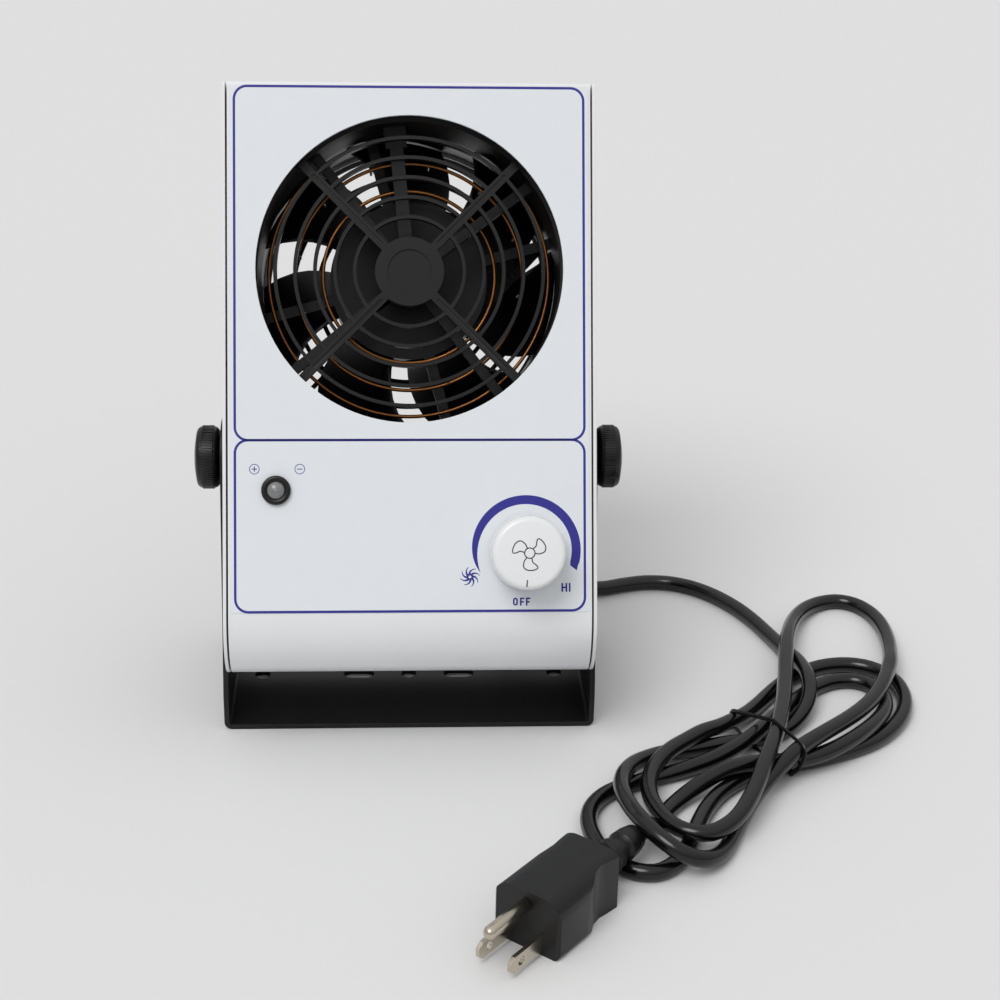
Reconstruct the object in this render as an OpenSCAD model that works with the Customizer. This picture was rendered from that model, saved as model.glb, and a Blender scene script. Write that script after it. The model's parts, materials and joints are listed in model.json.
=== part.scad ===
// Benchtop ionizing blower: a sheet-metal fan housing that tilts in a steel yoke.
// Origin: the middle bench hole of the yoke's base, on its underside.
// The outlet faces -Y, +Z is up and +X is on the right of someone in the air stream.

/* [Housing] */
// Width over the two side walls
body_w = 136; // [126:1:160]
// Height of the housing
body_h = 216; // [206:1:260]
// Depth of the housing from face to back
body_d = 80; // [76:1:100]
// Thickness of the steel sheet
sheet = 1.2; // [0.8:0.1:1.6]
// Open seam between the face shell and each side wall
seam = 0.7; // [0.4:0.1:1.2]
// Radius of the rolled lower front edge
nose_r = 22; // [14:1:24]
// Radius of the sharp bends
bend_r = 1.6; // [1.4:0.1:2.4]
// Width of the face shell's top joining lip
top_lip = 6; // [5.5:0.5:6.5]
// Width of the face shell's bottom joining lip
bottom_lip = 12; // [10:1:14]
// Thickness of the printed face film
film_t = 0.25; // [0.2:0.05:0.4]
// Bare metal left round the face film
film_margin = 0.8; // [0.5:0.1:2]

/* [Tilt stand] */
// Backward lean of the housing as it stands
lean = 25; // [0:1:40]
// Height of the pivot above the bench
pivot_h = 97; // [96:1:130]
// Height of the pivot above the housing's bottom
pivot_up = 80.5; // [78:0.5:82]
// Distance of the pivot behind the face
pivot_back = 40; // [36:1:44]
// Thickness of the yoke's steel
yoke_t = 2; // [1.5:0.1:3]
// Depth of the yoke's base
base_d = 78; // [70:1:100]
// Radius of the arms' round tops
arm_r = 15; // [12:0.5:18]
// Height at which the arms start to narrow
arm_shoulder = 14; // [8:1:30]
// Diameter of the bench holes
bench_hole_d = 6; // [4:0.1:7]
// Distance between the outer bench holes
bench_hole_pitch = 117; // [90:1:117]
// Distance between the bench slots
bench_slot_pitch = 40; // [34:1:60]
// Length of a bench slot from end to end
bench_slot_l = 12; // [9:0.5:15]

/* [Fan] */
// Side of the square fan frame
fan_side = 120; // [120:1:122]
// Depth of the fan frame
fan_depth = 38; // [38:1:40]
// Distance between the corner holes of fan and guards
fan_hole_pitch = 105; // [105:0.5:106]
// Height of the fan's axis above the pivot
fan_above_pivot = 67.3; // [67.3:0.1:67.8]
// Diameter of the air way through the frame
fan_bore_d = 115; // [112:0.5:115]
// Tip clearance of the impeller
tip_gap = 0.8; // [0.5:0.1:1.5]
// Diameter of the impeller's hub
hub_d = 60; // [50:1:66]
// Number of impeller blades
blades = 7; // [5:1:9]
// Thickness of a blade
blade_t = 1.5; // [1.2:0.1:2]
// Wrap of one blade round the hub from front to back edge
blade_wrap = 38; // [24:1:40]
// Sweep of a blade from root to tip
blade_sweep = 12; // [0:1:20]
// Diameter of the motor shaft
shaft_d = 3; // [2.5:0.1:4]

/* [Guards] */
// Diameter of the outlet opening in the face
outlet_d = 112; // [104:1:112]
// Recess of the outlet guard behind the face
guard_recess = 8; // [6:0.5:10]
// Depth of a guard
guard_depth = 4; // [3:0.5:5]
// Number of guard rings
guard_rings = 5; // [4:1:6]
// Outer radius of the largest guard ring
guard_ring_r = 50; // [46:0.5:52]
// Spacing of the guard rings
guard_ring_step = 7.3; // [5.5:0.1:8]
// Width of a guard ring
guard_ring_w = 1.3; // [1:0.1:2]
// Radius of the guard's middle disc
guard_hub_r = 12.7; // [8:0.1:14]
// Width of a guard arm
guard_arm_w = 3.4; // [2.5:0.1:5]
// Wire diameter of the rear guard
rear_wire_d = 1.8; // [1.4:0.1:2.4]

/* [Emitter] */
// Width of a strut in the emitter carrier
strut_w = 3.6; // [2.5:0.1:5]
// Depth of the struts
strut_depth = 5; // [4:0.5:6]
// Front of the struts behind the face
strut_front = 22; // [21:0.5:24]
// Wire diameter of the copper rings
ring_wire_d = 1.4; // [1:0.1:2]
// Radius of the outer earth ring
outer_ring_r = 52.6; // [50:0.1:54]
// Radius of the emitter ring
emitter_ring_r = 42.7; // [40:0.1:46]
// Radius of the inner earth ring
inner_ring_r = 32.3; // [28:0.1:36]
// Number of emitter needles
needles = 12; // [8:1:16]
// Diameter of a needle
needle_d = 1; // [0.8:0.1:1.4]

/* [Controls] */
// Speed knob to the right of the middle
knob_x = 42.2; // [38:0.1:44]
// Speed knob below the pivot
knob_below_pivot = 36; // [34:0.5:36]
// Diameter of the speed knob at its foot
knob_d = 27.6; // [22:0.1:30]
// Height of the speed knob over the face film
knob_h = 17; // [14:0.5:20]
// Diameter of the potentiometer shaft
pot_shaft_d = 6; // [5:0.1:6.4]
// Indicator light to the left of the middle
lamp_x = 48.7; // [44:0.1:52]
// Indicator light below the pivot
lamp_below_pivot = 13.2; // [10:0.1:20]
// Diameter of the indicator's bezel
lamp_d = 10.7; // [9:0.1:12]
// Diameter of the indicator's lens
lens_d = 6.6; // [5:0.1:7]

/* [Clamp knobs] */
// Diameter of a clamp knob
clamp_d = 24.2; // [20:0.1:30]
// Thickness of a clamp knob
clamp_t = 10.2; // [8:0.1:14]
// Number of grip ribs on a clamp knob
clamp_ribs = 72; // [36:1:90]
// Diameter of the clamp stud
stud_d = 5; // [4:0.5:6]
// Diameter of the friction washers
washer_d = 22; // [16:1:26]
// Thickness of the friction washers
washer_t = 1; // [0.8:0.1:1.5]
// Gap left between a clamp knob and the yoke
clamp_gap = 0.15; // [0.1:0.05:0.5]

/* [Power cord] */
// Diameter of the power cord
cord_d = 6.2; // [6:0.1:6.2]
// Cord exit to the right of the middle
exit_x = 45; // [45:0.1:45.1]
// Cord exit below the pivot
exit_below_pivot = 38; // [38:0.1:38.1]
// Length of the tapered strain relief outside the back
relief_l = 22; // [22:0.1:22.1]
// Height of the bundled cord
hank_h = 20; // [19:0.5:21]
// Width of the plug across its blades
plug_w = 26.5; // [25:0.1:28]
// Length of the plug's body
plug_l = 37; // [36:0.5:38]
// Height of the plug's body
plug_h = 22; // [21:0.1:23]

/* [Fasteners] */
// Thread diameter of the fan screws and studs
fan_screw_d = 4; // [3.5:0.1:4]
// Thread diameter of the small screws
small_screw_d = 3; // [2.5:0.1:3]
// Radial clearance of screws in their holes
screw_gap = 0.25; // [0.15:0.05:0.4]
// Radial clearance of turning shafts
running_gap = 0.05; // [0.03:0.01:0.08]
// Radial clearance of parts that are pushed together
push_gap = 0.02; // [0.01:0.01:0.05]

/* [Hidden] */
$fn = 64;

// Derived sizes of the housing
front_w = body_w - 2 * (sheet + seam);
back_inner = body_d - sheet;
yoke_inner_w = body_w + 2 * washer_t;
yoke_w = yoke_inner_w + 2 * yoke_t;
film_w = front_w - 2 * film_margin;
film_z0 = nose_r + film_margin;
film_z1 = body_h - bend_r - film_margin;

// Derived places inside the housing, as distances behind the face
fan_z = pivot_up + fan_above_pivot;
fan_front = back_inner - fan_depth;
carrier_front = guard_recess + guard_depth;
flange_t = 4;
duct_d = outlet_d;
ring_depth = strut_front + strut_depth + ring_wire_d / 2 + 0.05;
strut_angles = [36.7, 128, 219.5, 307.3];
wide_strut_angle = 95.5;
needle_offset = 20;
knob_z = pivot_up - knob_below_pivot;
lamp_z = pivot_up - lamp_below_pivot;
exit_z = pivot_up - exit_below_pivot;

// Derived sizes of the motor
rotor_front = fan_front + 5.2;
rotor_back = back_inner - 2.3;
blade_r = fan_bore_d / 2 - tip_gap;
cup_wall = 2;
tube_r = 5.5;
bearing_r = 4;
bearing_l = 4;
tube_end = rotor_back - 6.5;
cage_r = hub_d / 2 - cup_wall - push_gap;
stator_r = cage_r - 3.9;
core_front = fan_front + 9.2;
core_l = 14;
winding_l = 2.5;

// Derived sizes of nuts and screw heads
fan_hole_r = fan_screw_d / 2 + screw_gap;
small_hole_r = small_screw_d / 2 + screw_gap;
fan_nut_t = 0.8 * fan_screw_d;
fan_nut_r = fan_screw_d;
head_t = 0.6;
pot_body_r = 8.4;
pot_depth = 9.3;
board_front = sheet + pot_depth;
board_t = 1.6;
board_w = 50;
board_h = 50;
board_x = 12;
board_z = 24;
board_inset = 3;

// Pivot inserts, high-voltage supply, potentiometer and plug contacts
insert_neck_r = 3.6;
insert_flange_r = 5.8;
insert_l = 8;
module_w = 44;
module_d = 36;
module_h = 38;
module_x = -34;
module_y = 55;
ear_l = 7;
ear_t = 3;
pot_bushing_r = 3.5;
pot_nut_t = 2;
blade_z = 5.3;
blade_gap = 12.7;
pin_rise = 11.9;

// Power cord: its route over the bench, each point [x, y, z], from the strain
// relief's end to the bundle, then the bundle's outline as circles [x, y, radius]
cord_r = cord_d / 2;
lead_bench = [[46.8, 58.6, 26.2], [51.6, 63.9, 19.9], [58.6, 66.4, 13.9], [67.1, 67.5, 8.7],
    [76.1, 68.6, 5.1], [84, 70.8, 3.5], [96.3, 75.4, 3.2], [108.7, 77.1, 3.2], [119.5, 74.2, 3.2],
    [129.3, 67.3, 3.2], [137, 58, 3.2], [143, 47.5, 3.2], [147.6, 37, 3.2], [151, 28, 3.2],
    [153.8, 20, 3.2], [156.4, 12.5, 3.2]];
hank_left = [[136, -66, 11], [102, -64, 13], [82, -92, 17], [84, -132, 17], [99, -122, 14]];
hank_right = [[136, -66, 11], [166, -54, 12], [182, -24, 16], [184, 44, 18]];
tie_place = [136, -66, 28];
plug_place = [36, -178, -130];

// --- placing -------------------------------------------------------------------

// Puts housing geometry, drawn from its lower front edge, on the tilted pivot
module in_housing() {
    translate([0, 0, pivot_h]) rotate([-lean, 0, 0])
        translate([0, -pivot_back, -pivot_up]) children();
}

// Draws seen from the front: x right, y up, z into the housing
module seen_from_front(x, z) {
    in_housing() translate([x, 0, z]) rotate([90, 0, 0]) mirror([0, 0, 1]) children();
}

module on_fan_axis(depth = 0) {
    seen_from_front(0, fan_z) translate([0, 0, depth]) children();
}

// Repeats at the four corner holes of the fan
module at_fan_corners() {
    for (sx = [-1, 1], sy = [-1, 1])
        translate([sx, sy, 0] * fan_hole_pitch / 2) children();
}

// Extrudes a side-view outline (y, z) over a width centred on x = 0
module across(width) {
    rotate([90, 0, 90]) linear_extrude(width, center = true) children();
}

// --- shared shapes -------------------------------------------------------------

// Rectangle with its own radius at each corner, from lower left anticlockwise
module bent_outline(x0, y0, x1, y1, r) {
    corners = [[x0, y0, 1, 1], [x1, y0, -1, 1], [x1, y1, -1, -1], [x0, y1, 1, -1]];
    difference() {
        translate([x0, y0]) square([x1 - x0, y1 - y0]);
        for (i = [0:3]) if (r[i] > 0) corner_cut(corners[i], r[i]);
    }
}

module corner_cut(corner, r) {
    translate([corner[0], corner[1]]) scale_sign(corner[2], corner[3]) difference() {
        translate([-1, -1]) square(r + 1);
        translate([r, r]) circle(r);
    }
}

module scale_sign(sx, sy) {
    mirror([sx < 0 ? 1 : 0, 0]) mirror([0, sy < 0 ? 1 : 0]) children();
}

module tube(r_out, r_in, length) {
    difference() {
        cylinder(r = r_out, h = length);
        translate([0, 0, -1]) cylinder(r = r_in, h = length + 2);
    }
}

// Pan-head screw with its head's underside at z = 0 and its shank along +z
module pan_screw(d, length) {
    rotate_extrude() union() {
        square([d / 2, length]);
        translate([0, -head_t * d]) bent_outline(0, 0, d * 0.95, head_t * d, [0, d * 0.3, 0, 0]);
    }
}

module hex_nut(d, height, hole_r) {
    difference() {
        cylinder(r = d, h = height, $fn = 6);
        translate([0, 0, -1]) cylinder(r = hole_r, h = height + 2);
    }
}

module rounded_block(size, r) {
    linear_extrude(size[2]) bent_outline(0, 0, size[0], size[1], [r, r, r, r]);
}

function arc(cx, cy, r, a0, a1, n) =
    [for (i = [0:n]) let (a = a0 + (a1 - a0) * i / n) [cx + r * cos(a), cy + r * sin(a)]];

function unit(v) = v / norm(v);

// Direction of a route at point i, from its neighbours
function heading(p, i) = unit(p[min(i + 1, len(p) - 1)] - p[max(i - 1, 0)]);

// Rings of points round a route, each square to it
function rings_along(p, r, sides) = [for (i = [0:len(p) - 1])
    let (t = heading(p, i), side = unit(cross(t, [0, 0, 1])), up = cross(side, t))
    for (k = [0:sides - 1]) let (a = 360 * (k + 0.5) / sides) p[i] + r * (cos(a) * side + sin(a) * up)];

// Closed tube swept along a route, with flat ends
module cord_tube(route, r, sides = 10) {
    n = len(route);
    walls = [for (i = [0:n - 2], k = [0:sides - 1])
        let (a = i * sides + k, b = i * sides + (k + 1) % sides)
        each [[a, a + sides, b], [b, a + sides, b + sides]]];
    first_cap = [[for (k = [0:sides - 1]) k]];
    last_cap = [[for (k = [sides - 1:-1:0]) (n - 1) * sides + k]];
    polyhedron(rings_along(route, r, sides), concat(walls, first_cap, last_cap));
}

// --- tilt stand ----------------------------------------------------------------

// Side view of the yoke: a base strip with tangent lines up to the round arm top
module yoke_side() {
    reach = [base_d / 2, arm_shoulder] - [0, pivot_h];
    spread = acos(arm_r / norm(reach));
    touch = atan2(reach[1], reach[0]) + spread;
    edge = arm_r * [cos(touch), sin(touch)] + [0, pivot_h];
    polygon([[-base_d / 2, 0], [base_d / 2, 0], [base_d / 2, arm_shoulder], edge,
        [-edge[0], edge[1]], [-base_d / 2, arm_shoulder]]);
    translate([0, pivot_h]) circle(arm_r);
}

module yoke_section() {
    h = pivot_h + arm_r + 1;
    outer_r = yoke_t + 1;
    difference() {
        bent_outline(-yoke_w / 2, 0, yoke_w / 2, h, [outer_r, outer_r, 0, 0]);
        bent_outline(-yoke_inner_w / 2, yoke_t, yoke_inner_w / 2, h + 1, [1, 1, 0, 0]);
    }
}

module yoke_bracket() color([0.05, 0.05, 0.06]) difference() {
    intersection() {
        rotate([90, 0, 0]) linear_extrude(base_d + 2 * arm_r, center = true) yoke_section();
        across(yoke_w + 2) yoke_side();
    }
    for (x = [-1, 0, 1] * bench_hole_pitch / 2)
        translate([x, 0, -1]) cylinder(d = bench_hole_d, h = yoke_t + 2);
    for (s = [-1, 1], e = [-1, 1])
        translate([s * bench_slot_pitch / 2 + e * (bench_slot_l - bench_hole_d) / 2, 0, -1])
            cylinder(d = bench_hole_d, h = yoke_t + 2);
    for (s = [-1, 1])
        translate([s * bench_slot_pitch / 2 - (bench_slot_l - bench_hole_d) / 2, -bench_hole_d / 2, -1])
            cube([bench_slot_l - bench_hole_d, bench_hole_d, yoke_t + 2]);
    translate([0, 0, pivot_h]) rotate([0, 90, 0])
        cylinder(r = stud_d / 2 + screw_gap, h = yoke_w + 2, center = true);
}

// --- housing shells ------------------------------------------------------------

// Face, top, bottom and rolled nose in one folded sheet, with lips at the back
module front_shell() color([0.93, 0.94, 0.95]) difference() {
    in_housing() across(front_w) difference() {
        bent_outline(0, 0, back_inner, body_h, [nose_r, bend_r, bend_r, bend_r]);
        bent_outline(sheet, sheet, back_inner - sheet, body_h - sheet,
            [nose_r - sheet, bend_r - sheet, bend_r - sheet, bend_r - sheet]);
        translate([back_inner - sheet - 1, sheet + bottom_lip])
            square([sheet + 2, body_h - 2 * sheet - bottom_lip - top_lip]);
    }
    on_fan_axis(-1) cylinder(d = outlet_d, h = sheet + 2, $fn = 128);
    seen_from_front(knob_x, knob_z) translate([0, 0, -1]) cylinder(r = 3.8, h = sheet + 2);
    seen_from_front(-lamp_x, lamp_z) translate([0, 0, -1]) cylinder(r = 4.1, h = sheet + 2);
    at_housing_screws() translate([0, 0, -2 * sheet - 1]) cylinder(r = small_hole_r, h = 4 * sheet);
    at_module_screws() translate([0, 0, -1]) cylinder(r = small_hole_r, h = sheet + 2);
}

// Both side walls and the back in one folded sheet
module rear_shell() color([0.92, 0.93, 0.94]) difference() {
    in_housing() intersection() {
        linear_extrude(body_h) difference() {
            bent_outline(-body_w / 2, 0, body_w / 2, body_d, [0, 0, bend_r, bend_r]);
            bent_outline(-body_w / 2 + sheet, -1, body_w / 2 - sheet, back_inner,
                [0, 0, bend_r - sheet, bend_r - sheet]);
        }
        across(body_w + 2) bent_outline(0, 0, body_d, body_h, [nose_r, 0, 0, bend_r]);
    }
    on_fan_axis(back_inner - 1) cylinder(d = outlet_d, h = sheet + 2, $fn = 128);
    on_fan_axis(back_inner - 1) at_fan_corners() cylinder(r = fan_hole_r, h = sheet + 2);
    seen_from_front(exit_x, exit_z) translate([0, 0, back_inner - 1]) cylinder(r = 6.5, h = sheet + 2);
    at_housing_screws() translate([0, 0, -sheet - 1]) cylinder(r = small_hole_r, h = sheet + 2);
    in_housing() translate([0, pivot_back, pivot_up]) rotate([0, 90, 0])
        cylinder(r = insert_neck_r, h = body_w + 2, center = true);
}

// Printed film that covers the flat of the face
module face_film() color([0.95, 0.96, 0.98]) difference() {
    in_housing() translate([-film_w / 2, -film_t, film_z0]) cube([film_w, film_t, film_z1 - film_z0]);
    on_fan_axis(-1) cylinder(d = outlet_d, h = 2, $fn = 128);
    seen_from_front(knob_x, knob_z) translate([0, 0, -1]) cylinder(r = 3.8, h = 2);
    seen_from_front(-lamp_x, lamp_z) translate([0, 0, -1]) cylinder(r = 4.1, h = 2);
}

// Four screws through the back into the lips of the face shell, from outside
module at_housing_screws() {
    for (x = [-50, 50], z = [sheet + bottom_lip / 2, body_h - sheet - top_lip / 2])
        seen_from_front(x, z) translate([0, 0, body_d]) children();
}

module housing_screws() color([0.75, 0.76, 0.78])
    at_housing_screws() mirror([0, 0, 1]) pan_screw(small_screw_d, 6);

// --- pivot hardware ------------------------------------------------------------

// Pivot frame: z runs outward on the chosen side (1 right, -1 left)
module on_pivot(side, from_wall = 0) {
    translate([0, 0, pivot_h]) rotate([0, side * 90, 0])
        translate([0, 0, body_w / 2 + from_wall]) children();
}

module pivot_inserts() color([0.8, 0.7, 0.4]) for (side = [-1, 1]) on_pivot(side) difference() {
    union() {
        translate([0, 0, -sheet]) cylinder(r = insert_neck_r - push_gap, h = sheet);
        translate([0, 0, -sheet - 1.2]) cylinder(r = insert_flange_r, h = 1.2);
        translate([0, 0, -sheet - insert_l]) cylinder(r = 4.6, h = insert_l);
    }
    translate([0, 0, -sheet - insert_l - 1]) cylinder(r = stud_d / 2 + running_gap, h = insert_l + sheet + 2);
}

module friction_washers() color([0.2, 0.2, 0.2]) for (side = [-1, 1])
    on_pivot(side) tube(washer_d / 2, stud_d / 2 + screw_gap, washer_t);

module clamp_stud(side) color([0.7, 0.7, 0.72])
    on_pivot(side, -insert_l) cylinder(d = stud_d, h = insert_l + washer_t + yoke_t + clamp_t * 0.6);

// Knurled disc with a crowned face and a boss towards the yoke
module clamp_knob(side) color([0.06, 0.06, 0.06]) {
    rib = 0.35;
    root_r = clamp_d / 2 - rib;
    rim = 2.2;
    boss_t = 0.8;
    on_pivot(side, washer_t + yoke_t + clamp_gap) difference() {
        union() {
            rotate_extrude() polygon(concat([[0, 0], [root_r - 3, 0], [root_r - 3, boss_t]],
                arc(root_r - rim, boss_t + rim, rim, -90, 0, 5),
                arc(root_r - rim, clamp_t - 0.8 - rim, rim, 0, 76, 5),
                [[root_r * 0.5, clamp_t - 0.15], [0, clamp_t]]));
            translate([0, 0, boss_t + rim]) linear_extrude(clamp_t - 0.8 - boss_t - 2 * rim)
                ribbed_circle(root_r, rib, clamp_ribs);
        }
        translate([0, 0, -1]) cylinder(r = stud_d / 2 + push_gap, h = clamp_t * 0.6 + 1);
    }
}

// Circle whose edge is a row of straight-sided grip ribs
module ribbed_circle(root_r, rib, count) {
    polygon([for (i = [0:count - 1], s = [[-0.5, 0], [-0.22, 0], [-0.12, 1], [0.38, 1]])
        let (a = 360 * (i + s[0]) / count, r = root_r + rib * s[1]) r * [cos(a), sin(a)]]);
}

module left_clamp_knob() clamp_knob(-1);
module left_clamp_stud() clamp_stud(-1);
module right_clamp_knob() clamp_knob(1);
module right_clamp_stud() clamp_stud(1);

// --- guards --------------------------------------------------------------------

// Moulded finger guard: concentric rings, four grooved arms and corner bosses
module outlet_guard() color([0.08, 0.08, 0.08]) on_fan_axis(guard_recess) difference() {
    union() {
        for (i = [0:guard_rings - 1]) let (r = guard_ring_r - i * guard_ring_step)
            tube(r, r - guard_ring_w, guard_depth);
        cylinder(r = guard_hub_r, h = guard_depth * 0.8);
        intersection() {
            for (a = [45, 135]) rotate(a)
                translate([-fan_hole_pitch, -guard_arm_w / 2, 0]) cube([2 * fan_hole_pitch, guard_arm_w, guard_depth - 1]);
            cylinder(r = fan_hole_pitch * sqrt(0.5) + 5, h = guard_depth);
        }
        at_fan_corners() cylinder(r = 5.5, h = guard_depth);
    }
    for (a = [45:90:315]) rotate(a)
        translate([guard_hub_r + 2, -guard_arm_w / 6, -1]) cube([guard_ring_r - guard_hub_r - 2, guard_arm_w / 3, 1.6]);
    translate([0, 0, -1]) cylinder(r = guard_hub_r * 0.64, h = 1.8);
    at_fan_corners() translate([0, 0, -1]) cylinder(r = fan_hole_r, h = guard_depth + 2);
}

module guard_spacers() color([0.75, 0.75, 0.77]) on_fan_axis(sheet) at_fan_corners()
    tube(4, fan_hole_r, guard_recess - sheet);

module guard_studs() color([0.72, 0.66, 0.5]) on_fan_axis(sheet) at_fan_corners()
    cylinder(d = fan_screw_d, h = carrier_front + flange_t + fan_nut_t + 1 - sheet);

module stud_nuts() color([0.75, 0.75, 0.77]) on_fan_axis(carrier_front + flange_t) at_fan_corners()
    hex_nut(fan_nut_r, fan_nut_t, fan_screw_d / 2 + push_gap);

// Welded wire guard over the intake: rings on radial wires that end in eyelets
module rear_guard() color([0.1, 0.1, 0.1]) on_fan_axis(body_d) {
    w = rear_wire_d;
    eyelet_at = fan_hole_pitch * sqrt(0.5);
    rise = 4;
    bend = 63;
    foot = eyelet_at - fan_hole_r - w;
    leg = [[15, rise], [bend, rise], [foot - 2, 0], [foot + w / 2, 0],
           [foot + w / 2, w], [foot - 1, w], [bend + 1, rise + w], [15, rise + w]];
    for (r = [16:10:56]) translate([0, 0, rise + 0.7 * w]) tube(r + w / 2, r - w / 2, w);
    for (a = [45:90:315]) rotate(a) {
        rotate([90, 0, 0]) translate([0, 0, -w / 2]) linear_extrude(w) polygon(leg);
        translate([eyelet_at, 0, 0]) tube(fan_hole_r + w, fan_hole_r, w);
    }
}

// --- emitter assembly ----------------------------------------------------------

// Duct between guard and fan: two square flanges, a round wall and the struts
module emitter_carrier() color([0.3, 0.3, 0.32]) {
    length = fan_front - carrier_front;
    duct_r = duct_d / 2;
    on_fan_axis() difference() {
        union() {
            for (d = [carrier_front, fan_front - flange_t]) translate([0, 0, d])
                linear_extrude(flange_t) fan_square();
            translate([0, 0, carrier_front]) cylinder(r = fan_side / 2 - 0.5, h = length);
        }
        translate([0, 0, carrier_front - 1]) cylinder(r = duct_r, h = length + 2, $fn = 128);
        at_fan_corners() translate([0, 0, carrier_front - 1]) cylinder(r = fan_hole_r, h = length + 2);
    }
    on_fan_axis(strut_front) difference() {
        union() {
            cylinder(r = 12, h = strut_depth);
            for (a = strut_angles) rotate(a)
                translate([11, -strut_w / 2, 0]) cube([duct_r - 10, strut_w, strut_depth]);
            rotate(wide_strut_angle) {
                translate([11, -2.5, 0]) cube([duct_r - 10, 5, strut_depth]);
                translate([duct_r - 8, -4, 0]) cube([9, 8, strut_depth]);
            }
        }
        tube(duct_r + 10, duct_r + 0.8, strut_depth + 1);
    }
}

module fan_square() {
    half = fan_side / 2;
    bent_outline(-half, -half, half, half, [6, 6, 6, 6]);
}

module wire_ring(r) {
    on_fan_axis(ring_depth) rotate_extrude($fn = 128) translate([r, 0]) circle(d = ring_wire_d, $fn = 24);
}

module outer_earth_ring() color([0.72, 0.45, 0.25]) wire_ring(outer_ring_r);
module emitter_ring() color([0.72, 0.45, 0.25]) wire_ring(emitter_ring_r);
module inner_earth_ring() color([0.72, 0.45, 0.25]) wire_ring(inner_ring_r);

// Pointed pins on the inside of the emitter ring, aimed along the air stream
module emitter_needles() color([0.7, 0.7, 0.72])
    on_fan_axis(ring_depth) for (i = [0:needles - 1]) rotate(needle_offset + i * 360 / needles)
        translate([emitter_ring_r - ring_wire_d / 2 - needle_d / 2 - 0.05, 0, -2.5]) {
            cylinder(d = needle_d, h = 5);
            translate([0, 0, -2]) cylinder(r1 = 0.05, r2 = needle_d / 2, h = 2);
        }

// --- fan -----------------------------------------------------------------------

module fan_frame() color([0.09, 0.09, 0.1]) on_fan_axis(fan_front) difference() {
    union() {
        difference() {
            union() {
                linear_extrude(flange_t) fan_square();
                translate([0, 0, fan_depth - flange_t]) linear_extrude(flange_t) fan_square();
                cylinder(r = fan_side / 2, h = fan_depth);
            }
            translate([0, 0, -1]) cylinder(d = fan_bore_d, h = fan_depth + 2, $fn = 128);
        }
        cylinder(r = hub_d / 2, h = flange_t);
        for (a = [15:90:285]) rotate(a)
            translate([hub_d / 2 - 1, -2, 0]) cube([fan_bore_d / 2 - hub_d / 2 + 1.6, 4, flange_t]);
        cylinder(r = tube_r, h = tube_end - fan_front);
    }
    translate([0, 0, flange_t]) cylinder(r = bearing_r, h = fan_depth);
    at_fan_corners() translate([0, 0, -1]) cylinder(r = fan_hole_r, h = fan_depth + 2);
}

module stator_core() color([0.55, 0.55, 0.57]) on_fan_axis(core_front) difference() {
    cylinder(r = stator_r, h = core_l);
    translate([0, 0, -1]) cylinder(r = tube_r + push_gap, h = core_l + 2);
    for (a = [0:60:300]) rotate(a) {
        translate([stator_r * 0.64, 0, -1]) cylinder(r = 3.2, h = core_l + 2);
        translate([stator_r * 0.64, -1, -1]) cube([stator_r, 2, core_l + 2]);
    }
}

module stator_windings() color([0.72, 0.42, 0.2])
    for (d = [core_front - winding_l, core_front + core_l])
        on_fan_axis(d) tube(stator_r * 0.86, stator_r * 0.42, winding_l);

module fan_bearings() color([0.7, 0.55, 0.35])
    for (d = [fan_front + flange_t + 1, tube_end - bearing_l])
        on_fan_axis(d) tube(bearing_r - push_gap, shaft_d / 2 + running_gap, bearing_l);

// Hub cup with helical blades; each section is a swept strip from root to tip
module fan_impeller() color([0.07, 0.07, 0.08]) on_fan_axis(rotor_front) {
    length = rotor_back - rotor_front;
    end_t = 2.5;
    difference() {
        union() {
            cylinder(d = hub_d, h = length);
            translate([0, 0, 1]) for (i = [0:blades - 1]) rotate(i * 360 / blades)
                linear_extrude(length - 2, twist = blade_wrap, slices = 9, $fn = 8) blade_section();
        }
        translate([0, 0, -1]) cylinder(r = hub_d / 2 - cup_wall, h = length + 1 - end_t);
    }
    translate([0, 0, length - end_t - 3.5])
        tube(4, shaft_d / 2 + push_gap, 3.5);
}

module blade_section() {
    root = hub_d / 2 - 1;
    steps = 5;
    function mid(i) = let (u = i / steps, r = root + (blade_r - root) * u, a = blade_sweep * u * u)
        r * [cos(a), sin(a)];
    function side(i, s) = let (d = unit(mid(min(i + 1, steps)) - mid(max(i - 1, 0))))
        mid(i) + s * blade_t / 2 * [-d[1], d[0]];
    polygon(concat([for (i = [0:steps]) side(i, -1)], [for (i = [steps:-1:0]) side(i, 1)]));
}

module rotor_cage() color([0.6, 0.6, 0.62])
    on_fan_axis(rotor_front + 2) tube(cage_r, cage_r - 3, rotor_back - rotor_front - 2 - 2.5);

module fan_shaft() color([0.8, 0.8, 0.82])
    on_fan_axis(fan_front + flange_t + 0.6) cylinder(d = shaft_d, h = rotor_back - 2.6 - fan_front - flange_t - 0.6);

module fan_screws() color([0.75, 0.75, 0.77]) on_fan_axis(body_d + rear_wire_d) at_fan_corners()
    mirror([0, 0, 1]) pan_screw(fan_screw_d, body_d + rear_wire_d - fan_front + flange_t + fan_nut_t + 1);

module fan_nuts() color([0.75, 0.75, 0.77]) on_fan_axis(fan_front - flange_t - fan_nut_t) at_fan_corners()
    hex_nut(fan_nut_r, fan_nut_t, fan_screw_d / 2 + push_gap);

// --- electronics ---------------------------------------------------------------

module at_module_screws() {
    in_housing() for (s = [-1, 1])
        translate([module_x + s * (module_w + ear_l) / 2, module_y, 0]) children();
}

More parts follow.
